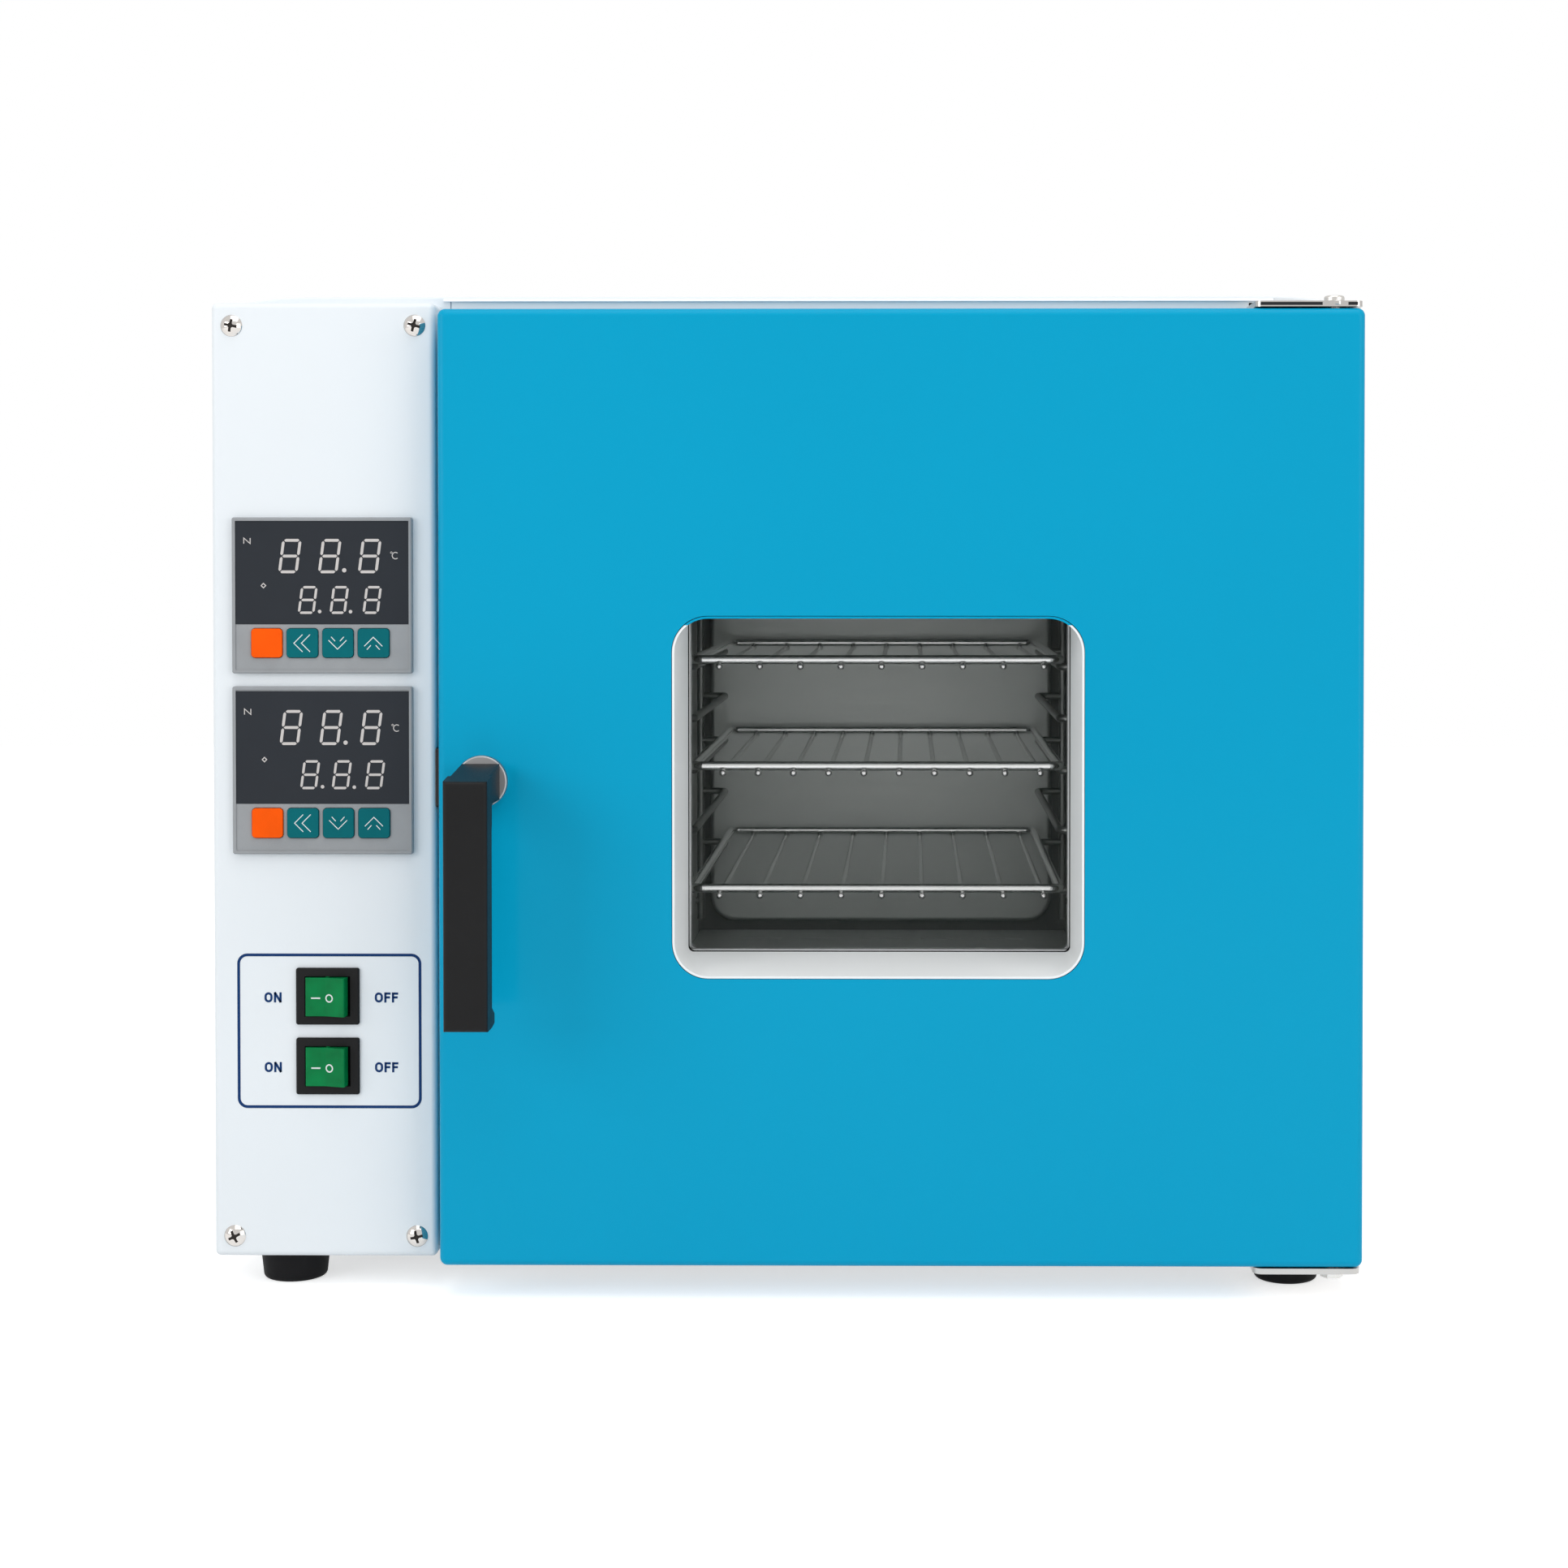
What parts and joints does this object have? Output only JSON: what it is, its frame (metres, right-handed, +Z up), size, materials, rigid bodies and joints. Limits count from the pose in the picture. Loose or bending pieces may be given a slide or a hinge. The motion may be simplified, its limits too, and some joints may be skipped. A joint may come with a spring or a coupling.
{
  "type": "laboratory oven",
  "caption": "Bench drying oven with a hinged windowed door, a turning lever handle, wire shelves, a control fascia with two temperature controllers and rocker switches.",
  "frame": {"origin": "on the ground, below the middle of the whole oven", "axes": "+X to the right seen from the front, +Y to the back, +Z up"},
  "size_m": [0.615, 0.552, 0.5345],
  "materials": {
    "white_enamel": "satin",
    "white_bezel": "gloss",
    "blue_enamel": "satin",
    "stainless": "satin",
    "bright_wire": "polished",
    "zinc_plate": "satin",
    "screw_steel": "polished",
    "mineral_wool": "matte",
    "clear_glass": "polished",
    "aluminium_spacer": "satin",
    "black_rubber": "matte",
    "silicone": "matte",
    "black_moulding": "matte",
    "grey_moulding": "matte",
    "display_smoke": "gloss",
    "orange_key": "matte",
    "teal_key": "matte",
    "green_rocker": "gloss",
    "brass_blade": "satin",
    "motor_steel": "matte",
    "heater_sheath": "satin",
    "pale_moulding": "matte"
  },
  "bodies": {
    "case": {"outer_wrap": "white_enamel", "front_frame": "white_enamel", "base_pan": "white_enamel", "rear_panel": "white_enamel", "partition_wall": "zinc_plate", "control_fascia": "white_enamel", "fascia_screws": "screw_steel", "case_screws": "screw_steel", "rubber_feet": "black_rubber", "insulation_jacket": "mineral_wool", "chamber_liner": "stainless", "air_panels": "stainless", "floor_plate": "stainless", "rear_baffle": "stainless", "shelf_racks": "bright_wire", "heater_elements": "heater_sheath", "temperature_probe": "stainless", "fan_motor": "motor_steel", "fan_cover": "white_enamel", "vent_tube": "stainless", "power_inlet": "black_moulding", "inlet_pins": "brass_blade", "solid_state_relay": "pale_moulding", "terminal_block": "pale_moulding", "controller_cases": "grey_moulding", "display_windows": "display_smoke", "switch_housings": "black_moulding", "hinge_brackets": "zinc_plate", "hinge_pins": "zinc_plate", "latch_keeper": "zinc_plate"},
    "door": {"door_skin": "blue_enamel", "door_inner_panel": "stainless", "door_wool": "mineral_wool", "window_bezel": "white_bezel", "window_gasket": "black_rubber", "outer_glass": "clear_glass", "glass_spacer": "aluminium_spacer", "inner_glass": "clear_glass", "door_gasket": "silicone", "hinge_bushes": "zinc_plate", "handle_rosette": "zinc_plate"},
    "handle": {"handle_lever": "black_moulding", "handle_spindle": "zinc_plate", "latch_tongue": "zinc_plate"},
    "fan": {"fan_shaft": "zinc_plate", "fan_impeller": "stainless"},
    "vent_shutter": {"vent_shutter": "black_moulding"},
    "top_shelf": {"top_shelf": "bright_wire"},
    "middle_shelf": {"middle_shelf": "bright_wire"},
    "lower_shelf": {"lower_shelf": "bright_wire"},
    "upper_rocker": {"upper_rocker": "green_rocker"},
    "lower_rocker": {"lower_rocker": "green_rocker"},
    "upper_mode_key": {"upper_mode_key": "orange_key"},
    "upper_shift_key": {"upper_shift_key": "teal_key"},
    "upper_down_key": {"upper_down_key": "teal_key"},
    "upper_up_key": {"upper_up_key": "teal_key"},
    "lower_mode_key": {"lower_mode_key": "orange_key"},
    "lower_shift_key": {"lower_shift_key": "teal_key"},
    "lower_down_key": {"lower_down_key": "teal_key"},
    "lower_up_key": {"lower_up_key": "teal_key"}
  },
  "joints": [
    {"name": "door_swing", "type": "hinge", "parent": "case", "child": "door", "pos_m": [0.29, -0.207, 0.27], "axis": [0, 0, 1], "range_deg": [0, 125]},
    {"name": "handle_turn", "type": "hinge", "parent": "door", "child": "handle", "pos_m": [-0.1596, -0.221, 0.2754], "axis": [0, -1, 0], "range_deg": [0, 90]},
    {"name": "fan_spin", "type": "hinge", "parent": "case", "child": "fan", "pos_m": [0.047, 0.2, 0.274], "axis": [0, 1, 0], "continuous": true},
    {"name": "vent_turn", "type": "hinge", "parent": "case", "child": "vent_shutter", "pos_m": [0.19, 0.243, 0.392], "axis": [0, 1, 0], "range_deg": [0, 60]},
    {"name": "top_shelf_slide", "type": "slide", "parent": "case", "child": "top_shelf", "axis": [0, -1, 0], "range_m": [0, 0.006]},
    {"name": "middle_shelf_slide", "type": "slide", "parent": "case", "child": "middle_shelf", "axis": [0, -1, 0], "range_m": [0, 0.006]},
    {"name": "lower_shelf_slide", "type": "slide", "parent": "case", "child": "lower_shelf", "axis": [0, -1, 0], "range_m": [0, 0.006]},
    {"name": "upper_rocker_tilt", "type": "hinge", "parent": "case", "child": "upper_rocker", "pos_m": [-0.246, -0.1995, 0.1583], "axis": [0, 0, 1], "range_deg": [0, 20]},
    {"name": "lower_rocker_tilt", "type": "hinge", "parent": "case", "child": "lower_rocker", "pos_m": [-0.246, -0.1995, 0.1208], "axis": [0, 0, 1], "range_deg": [0, 20]},
    {"name": "upper_mode_key_press", "type": "slide", "parent": "case", "child": "upper_mode_key", "axis": [0, 1, 0], "range_m": [0, 0.0006], "stiffness_N_per_m": 300},
    {"name": "upper_shift_key_press", "type": "slide", "parent": "case", "child": "upper_shift_key", "axis": [0, 1, 0], "range_m": [0, 0.0006], "stiffness_N_per_m": 300},
    {"name": "upper_down_key_press", "type": "slide", "parent": "case", "child": "upper_down_key", "axis": [0, 1, 0], "range_m": [0, 0.0006], "stiffness_N_per_m": 300},
    {"name": "upper_up_key_press", "type": "slide", "parent": "case", "child": "upper_up_key", "axis": [0, 1, 0], "range_m": [0, 0.0006], "stiffness_N_per_m": 300},
    {"name": "lower_mode_key_press", "type": "slide", "parent": "case", "child": "lower_mode_key", "axis": [0, 1, 0], "range_m": [0, 0.0006], "stiffness_N_per_m": 300},
    {"name": "lower_shift_key_press", "type": "slide", "parent": "case", "child": "lower_shift_key", "axis": [0, 1, 0], "range_m": [0, 0.0006], "stiffness_N_per_m": 300},
    {"name": "lower_down_key_press", "type": "slide", "parent": "case", "child": "lower_down_key", "axis": [0, 1, 0], "range_m": [0, 0.0006], "stiffness_N_per_m": 300},
    {"name": "lower_up_key_press", "type": "slide", "parent": "case", "child": "lower_up_key", "axis": [0, 1, 0], "range_m": [0, 0.0006], "stiffness_N_per_m": 300}
  ]
}
